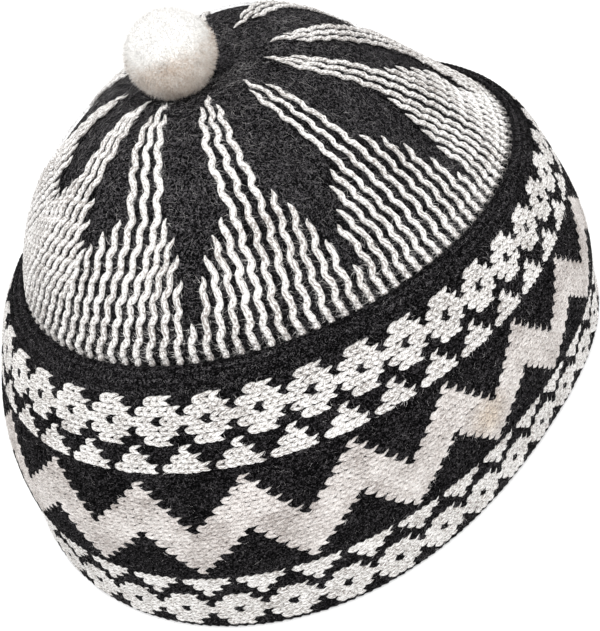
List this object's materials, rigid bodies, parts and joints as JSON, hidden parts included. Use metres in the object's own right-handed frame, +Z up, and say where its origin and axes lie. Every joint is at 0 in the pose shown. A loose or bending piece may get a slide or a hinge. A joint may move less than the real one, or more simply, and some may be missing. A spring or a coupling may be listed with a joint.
{
  "type": "knitted kufi cap",
  "caption": "Round knitted cap with a patterned black and white side band, a plain welt, a striped crown and a small white pompom.",
  "frame": {"origin": "centre of the bounding box's bottom face, on the plane of the rim", "axes": "+Z up from the rim to the crown, -Y towards the side that faces the viewer in the picture"},
  "size_m": [0.217, 0.2112, 0.1495],
  "materials": {
    "band": "matte jacquard knit in black and off-white wool",
    "welt": "matte black wool knit, slightly fuzzy",
    "crown": "matte charcoal wool knit with raised off-white stripes",
    "pompom": "soft matted white wool pile"
  },
  "bodies": {
    "root": {"band": "band", "welt": "welt", "crown": "crown", "pompom": "pompom"}
  },
  "joints": []
}
